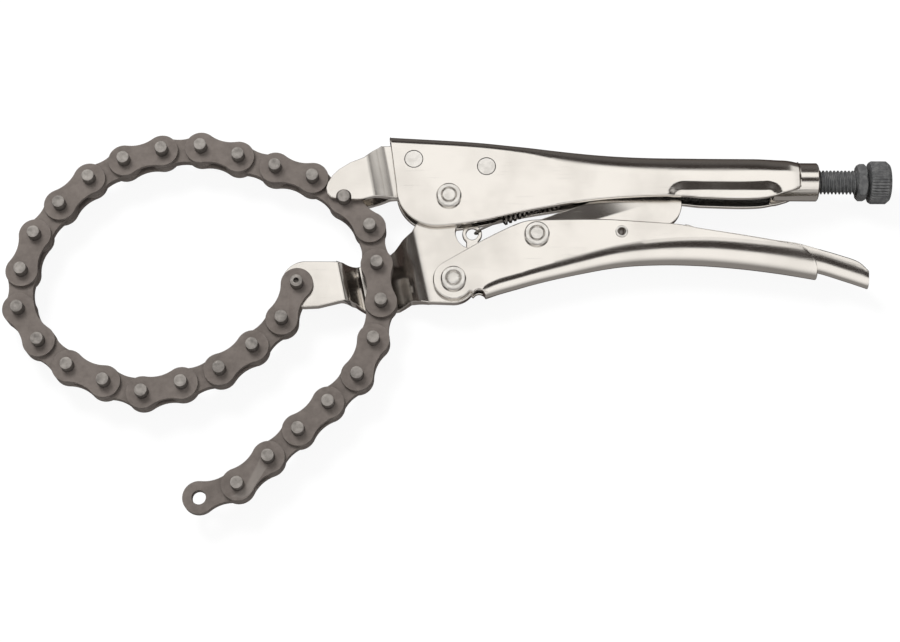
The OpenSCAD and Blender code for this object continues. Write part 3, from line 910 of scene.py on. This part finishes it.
def rivets():
    """Three pivot rivets, two flush rivets and the hollow rivet of the release lever."""
    jaw = rivet_head("jaw_rivet", JAW_PIVOT, HANDLE_OUT, 0)
    settle(jaw, "handle", "rivet_steel", "jaw_pivot_rivet")
    lever = rivet_head("lever_rivet", LEVER_PIVOT, LEVER_OUT, LEVER_SPLINES)
    settle(lever, "lever", "rivet_steel", "lever_pivot_rivet")
    link = rivet_head("link_rivet", LINK_PIVOT, LEVER_OUT, 0)
    settle(link, "lever", "rivet_steel", "link_pivot_rivet")
    flush = []
    for at in FLUSH_RIVETS:
        head = cylinder("flush_rivet", FLUSH_R, -HANDLE_OUT, HANDLE_OUT, at, HEAD_SIDES)
        flush.append(ease(head, FLUSH_EDGE))
    settle(paint(join("flush_rivets", flush), RIVET), "handle", "rivet_steel", "jaw_rivets")
    reach = lever_half(RELEASE_PIVOT.x) + RELEASE_RIVET_PROUD
    ring = cylinder("hollow_rivet", RELEASE_RIVET_R, -reach, reach, RELEASE_PIVOT, sides=48)
    bore(ring, RELEASE_PIVOT, RELEASE_RIVET_HOLE)
    clean(ring)
    ease(ring, RELEASE_RIVET_EDGE, turns=3)
    settle(paint(ring, RIVET), "lever", "rivet_steel", "release_rivet")


# Adjusting screw, lock nut and knob

# Where one turn of the thread leaves its root, comes to its crest, leaves it and is back at its root
THREAD_FORM = (0.2, 0.62, 0.83, 1.25)
THREAD = 1.5
THREAD_DEPTH = 0.85
THREAD_STEPS = 28
THREAD_WELD = 0.001
THREAD_SHARP = 30
SCREW_R = 4.9
TIP_X = 94.7
NUT_X = 166.0
NUT_LONG = 3.7
NUT_ACROSS = 13.6
NUT_TURNED = 1.13
NUT_CHAMFER = 0.85
NUT_EDGE = 0.15
KNOB_X = 171.0
KNOB_LONG = 8.3
KNOB_R = 8.8
KNOB_RIBS = 44
KNOB_EDGE = 0.12
KNOB_SHARP = 25
KNOB_FACING = 0.95

# Where the knurl starts and stops from the knob's ends, and how far its ends and grooves are turned down
KNURL_START = 1.0
KNURL_STOP = 1.5
KNOB_FOOT = 0.93
KNOB_CROWN = 0.84
KNURL_GROOVE = 0.94

# Steps of the knob's end face: how far each goes in, and how far it stands up
KNOB_END = [(1.1, 0), (1.6, -0.35)]

# Rims are the edges that turn further than this, in radians
RIM_ANGLE = 1.0


def adjusting_screw():
    """One turn of the thread's profile, wound along the screw and trimmed to length."""
    root = SCREW_R - THREAD_DEPTH
    foot, rise, fall, end = THREAD_FORM
    profile = [(0, root), (foot, root), (rise, SCREW_R), (fall, SCREW_R), (end, root), (THREAD, root)]
    turns = math.ceil((KNOB_X - TIP_X) / THREAD) + 2
    deselect()
    bpy.ops.mesh.primitive_circle_add(vertices=len(profile), fill_type="NOTHING")
    piece = named("screw")
    for vertex, (x, r) in zip(piece.data.vertices, profile):
        vertex.co = (x, r, 0)
    last = len(profile) - 1
    for vertex in piece.data.vertices:
        vertex.select = vertex.index in (0, last)
    for edge in piece.data.edges:
        edge.select = set(edge.vertices) == {0, last}
    edit(piece, "EDGE")
    bpy.ops.mesh.delete(type="EDGE_FACE")
    done()
    apply(piece, "SCREW", axis="X", angle=2 * math.pi, screw_offset=THREAD, iterations=turns,
          steps=THREAD_STEPS, render_steps=THREAD_STEPS, use_merge_vertices=True,
          merge_threshold=THREAD_WELD)
    piece.location = (TIP_X - THREAD, SCREW_Y, 0)
    apply_turn(piece)
    for x, outside in ((TIP_X, False), (KNOB_X, True)):
        edit(piece)
        bpy.ops.mesh.select_all(action="SELECT")
        bpy.ops.mesh.remove_doubles(threshold=THREAD_WELD)
        bpy.ops.mesh.bisect(plane_co=(x, 0, 0), plane_no=(1, 0, 0), use_fill=True, clear_outer=outside,
                            clear_inner=not outside)
        done()
    edit(piece)
    bpy.ops.mesh.select_all(action="SELECT")
    bpy.ops.mesh.normals_make_consistent(inside=False)
    done()
    smooth(piece, THREAD_SHARP)
    settle(paint(piece, OXIDE), "screw", "black_oxide", "adjusting_screw")


def lock_nut():
    """Hexagon with both faces turned down at the corners."""
    piece = cylinder("nut", NUT_ACROSS / 2 / math.cos(math.pi / 6), NUT_X, NUT_X + NUT_LONG, sides=6)
    piece.rotation_euler = (0, 0, math.pi / 6)
    along_screw(apply_turn(piece))
    turned = cylinder("turned", NUT_ACROSS / 2 * NUT_TURNED, NUT_X, NUT_X + NUT_LONG, sides=96)
    apply(turned, "BEVEL", width=NUT_CHAMFER, segments=1, limit_method="ANGLE", angle_limit=RIM_ANGLE)
    cut(piece, along_screw(turned), "INTERSECT")
    cut(piece, along_screw(cylinder("drill", SCREW_BORE, 0, FAR)))
    clean(piece)
    ease(piece, NUT_EDGE)
    settle(paint(piece, OXIDE), "nut", "black_oxide", "lock_nut")


def knurled_knob():
    """Round knob with a straight knurl, a turned neck and chamfered rims."""
    piece = cylinder("knob", KNOB_R, KNOB_X, KNOB_X + KNOB_LONG, sides=2 * KNOB_RIBS)
    edit(piece, "EDGE")
    for level in (KNOB_X + KNURL_START, KNOB_X + KNOB_LONG - KNURL_STOP):
        bpy.ops.mesh.select_all(action="SELECT")
        bpy.ops.mesh.bisect(plane_co=(0, 0, level), plane_no=(0, 0, 1))
    done()
    for vertex in piece.data.vertices:
        rib = round(math.atan2(vertex.co.y, vertex.co.x) / (2 * math.pi) * 2 * KNOB_RIBS)
        foot = abs(vertex.co.z - KNOB_X) < NEAR
        crown = abs(vertex.co.z - KNOB_X - KNOB_LONG) < NEAR
        shrink = KNOB_FOOT if foot else KNOB_CROWN if crown else KNURL_GROOVE if rib % 2 else 1.0
        vertex.co.x *= shrink
        vertex.co.y *= shrink
    pick_faces(piece, lambda face: face.normal.z > KNOB_FACING)
    edit(piece)
    for inset, up in KNOB_END:
        bpy.ops.mesh.inset(thickness=inset, depth=up)
    done()
    ease(piece, KNOB_EDGE, angle=KNOB_SHARP)
    settle(paint(along_screw(piece), OXIDE), "knob", "black_oxide", "knurled_knob")


# Chain

PITCH = 15.875
PLATE_R = 6.5
WAIST = 4.9
PLATE_T = 2.0
PLATE_EDGE = 0.28
GAP = 0.1
PIN_R = 2.54
PIN_HALF = 8.4
PIN_FIT = 0.02
PIN_RUN = 0.05
EYE_R = 2.75

# Chamfer of a pin, the steps of its ends as for a rivet's head, and how level a face of an end is
PIN_CHAMFER = 0.4
SOLID_END = [(0.7, 0), (0.5, 0.12)]
HOLLOW_END = [(1.0, 0), (0.1, 2.0)]
PIN_FACING = 0.9


def plate_outline():
    """Two round ends joined by hollow flanks that run into them without a corner."""
    half = PITCH / 2
    hollow = (half ** 2 + WAIST ** 2 - PLATE_R ** 2) / (2 * (PLATE_R - WAIST))
    meet = math.degrees(math.atan2(WAIST + hollow, half))
    spread = 90 - meet
    points = arc((0, 0), PLATE_R, meet, 360 - meet, 40)
    points += arc((half, -WAIST - hollow), hollow, 90 + spread, 90 - spread, 12)[1:-1]
    points += arc((PITCH, 0), PLATE_R, meet - 180, 180 - meet, 40)
    points += arc((half, WAIST + hollow), hollow, spread - 90, -90 - spread, 12)[1:-1]
    return points


def chain_plate(level, holes):
    """One plate at its level in the chain, drilled at both ends."""
    piece = plate("chain_plate", plate_outline(), level, level + PLATE_T)
    for x, radius in holes:
        bore(piece, (x, 0), radius)
    clean(piece)
    return ease(piece, PLATE_EDGE)


def chain_pin(steps):
    """Pin with chamfered ends that step in and sink."""
    piece = cylinder("chain_pin", PIN_R, -PIN_HALF, PIN_HALF, sides=40)
    apply(piece, "BEVEL", width=PIN_CHAMFER, segments=2, limit_method="ANGLE", angle_limit=RIM_ANGLE)
    level = PIN_HALF
    for inset, sink in steps:
        level = inset_top(piece, level, inset, sink)
    return smooth(piece)


def both_sides(piece):
    """The piece and its mirror image below the middle of the tool."""
    below = copy_of(piece, "below", Matrix.Scale(-1, 4, (0, 0, 1)))
    below.data.flip_normals()
    return [piece, below]


def link_of(plates, pins):
    """Joins plates and pins; the pins' flat ends take a lighter copy of the steel as painted light, and
    their sides a darker copy as painted shade.
    """
    paint(plates, PLATE)
    for pin in pins:
        paint(pin, PIN, PIN_END_PAINTED_LIGHT)
        for face in pin.data.polygons:
            # Upward ends get the lighter steel as painted light, the sides the darker steel as painted shade
            face.material_index = 1 if abs(face.normal.z) > PIN_FACING else 0
    return join("link", [plates] + pins)


def chain():
    """Four kinds of link, each modelled once, then copied to the pins of every body of the chain."""
    outer_level = GAP / 2 + PLATE_T + GAP
    pin_holes = [(0, PIN_R + PIN_FIT), (PITCH, PIN_R + PIN_FIT)]
    run_holes = [(0, PIN_R + PIN_RUN), (PITCH, PIN_R + PIN_RUN)]
    solid, hollow = chain_pin(SOLID_END), chain_pin(HOLLOW_END)
    far_pin = Matrix.Translation((PITCH, 0, 0))
    outer = join("outer", both_sides(chain_plate(outer_level, pin_holes)))
    inner = paint(join("inner", both_sides(chain_plate(GAP / 2, run_holes))), PLATE)
    end_holes = [run_holes[0], (PITCH, EYE_R)]
    end = paint(join("end", both_sides(chain_plate(GAP / 2, end_holes))), PLATE)
    first = link_of(copy_of(outer, "first", Matrix()), [hollow, copy_of(solid, "pin", far_pin)])
    outer = link_of(outer, [solid, copy_of(solid, "pin", far_pin)])
    count = len([body for body in frame["bodies"] if body.startswith("chain_")])
    pins = [place("chain_flex")] + [place("chain_joint_%02d" % k) for k in range(2, count + 1)]
    pins.append((Vector(mounts["chain_end_eye"]["pos_m"]) - ORIGIN) / MM)
    for k in range(1, count + 1):
        at, onward = pins[k - 1], pins[k] - pins[k - 1]
        model = first if k == 1 else end if k == count else outer if k % 2 else inner
        turn = Matrix.Translation(at) @ Matrix.Rotation(math.atan2(onward.y, onward.x), 4, "Z")
        link = copy_of(model, "chain_link_piece_%02d" % k, turn)
        settle(link, "chain_%02d" % k, "chain_steel", "chain_link_%02d" % k)
    for model in (first, outer, inner, end):
        bpy.data.objects.remove(model)


# Studio

FLOOR_SIZE = 6
FLOOR_LEVEL = -0.0004
FLOOR_GLOW = 0.9


def floor():
    """Pale floor that keeps the tool's shadow and shows in no reflection."""
    deselect()
    bpy.ops.mesh.primitive_plane_add(size=FLOOR_SIZE, location=(0, 0, FLOOR_LEVEL))
    piece = named("floor")
    material, f = new_finish("pale_floor")
    path = f.node("ShaderNodeLightPath", output="Is Camera Ray")
    glossy = f.node("ShaderNodeLightPath", output="Is Glossy Ray")
    tone = f.noise(f.object_place(), 3.0, 2.0)
    colour = f.mix(tone, rgb(0.9, 0.9, 0.9), rgb(0.93, 0.93, 0.93))
    matte = f.node("ShaderNodeBsdfDiffuse", None, {"Color": colour})
    glow = f.node("ShaderNodeEmission", None, {"Color": rgb(1, 1, 1), "Strength": 1.0})
    seen = f.node("ShaderNodeMixShader", None, {0: path * FLOOR_GLOW, 1: matte, 2: glow})
    clear = f.node("ShaderNodeBsdfTransparent")
    f.surface(f.node("ShaderNodeMixShader", None, {0: glossy, 1: seen, 2: clear}))
    paint(piece, material)


def studio_light():
    """White to the eye; in reflections a soft box overhead, cards in front and beside, and dark between."""
    world = bpy.data.worlds.new("studio")
    bpy.context.scene.world = world
    world.use_nodes = True
    f = Finish(world.node_tree)
    direction = f.node("ShaderNodeTexCoord", output="Generated")
    x, y, z = [f.node("ShaderNodeSeparateXYZ", None, {0: direction}, axis) for axis in ("X", "Y", "Z")]
    beside = x.math("ABSOLUTE", x, 0)
    overhead = f.between(y, 0.16, 0.235) * f.between(0.7 - y, 0.0, 0.09)
    overhead = overhead * f.between(0.52 - beside, 0.0, 0.18)
    overhead = overhead * f.between(z, 0.2, 0.4)
    ahead = f.between(0.0 - y, 0.2, 0.3) * f.between(1.0 - beside, 0.0, 0.3)
    card = ahead * (0.2 + f.between(z, 0.0, 0.75) * 0.76)
    shade = f.mix(f.between(z, -0.4, 0.5), rgb(0.055, 0.042, 0.037), rgb(0.035, 0.028, 0.025))
    wall = f.between(y, 0.82, 1.0) * 0.07
    behind = f.between(y, 0.42, 0.55) * f.between(beside, 0.22, 0.34)
    flank = f.between(0.1 - y, 0.0, 0.12) * f.between(beside, 0.45, 0.6)
    sides = behind.at_least(flank) * f.between(z, 0.0, 0.2) * 0.8
    lit = f.mix(overhead.at_least(card).at_least(wall).at_least(sides), shade, rgb(1.12, 1.1, 1.07))
    seen = f.node("ShaderNodeLightPath", output="Is Camera Ray")
    glossy = f.node("ShaderNodeLightPath", output="Is Glossy Ray")
    sky = f.mix(f.between(z, -0.1, 0.9), rgb(0.16, 0.16, 0.16), rgb(0.82, 0.82, 0.82))
    colour = f.mix(glossy, sky, lit)
    colour = f.mix(seen, colour, rgb(1, 1, 1))
    light = f.node("ShaderNodeBackground", None, {"Color": colour})
    f.node("ShaderNodeOutputWorld", None, {"Surface": light})


def aim(holder, at, towards):
    """Puts a lamp or the camera in its place and turns it to a point."""
    holder.location = at
    holder.rotation_euler = (Vector(towards) - Vector(at)).to_track_quat("-Z", "Y").to_euler()
    bpy.context.collection.objects.link(holder)


def lamp(name, at, towards, size, power):
    """Round soft lamp that shows in no reflection."""
    light = bpy.data.lights.new(name, "AREA")
    light.shape = "DISK"
    light.size = size
    light.energy = power
    holder = bpy.data.objects.new(name, light)
    aim(holder, at, towards)
    holder.visible_glossy = False


CAMERA_AT = (0.0013, -0.2193, 0.782)
CAMERA_TOWARDS = (0, 0.0003, 0.013)
FOCAL = 80
SENSOR = 36


def camera():
    """Looks down on the tool from the front, as the photograph does."""
    lens = bpy.data.cameras.new("camera")
    lens.lens = FOCAL
    lens.sensor_width = SENSOR
    lens.clip_start = 0.05
    lens.clip_end = 20
    holder = bpy.data.objects.new("camera", lens)
    aim(holder, CAMERA_AT, CAMERA_TOWARDS)
    bpy.context.scene.camera = holder


# Everything in its place

upper_handle()
lower_lever()
release_lever()
dressed("hook_plate_top", "handle", "nickel_plate", NICKEL, width=0.35, shape=hook_top_shape)
dressed("hook_plate_bottom", "handle", "nickel_plate", NICKEL, width=0.35, shape=hook_bottom_shape)
dressed("lower_jaw", "lower_jaw", "nickel_plate", NICKEL, width=0.4, shape=jaw_shape)
dressed("toggle_link", "link", "nickel_plate", NICKEL, width=0.3, shape=link_shape)
dressed("spring_anchor", "handle", "nickel_plate", NICKEL, width=0.2)
dressed("return_spring", "handle", "spring_steel", WIRE, width=0.05, angle=70)
rivets()
adjusting_screw()
lock_nut()
knurled_knob()
chain()

floor()
studio_light()
lamp("key", at=(-0.35, 0.45, 0.8), towards=(0, 0, 0), size=0.4, power=11)
lamp("fill", at=(0.5, -0.5, 0.7), towards=(0, 0, 0), size=0.6, power=1)
camera()
bpy.context.scene.view_settings.view_transform = "Standard"
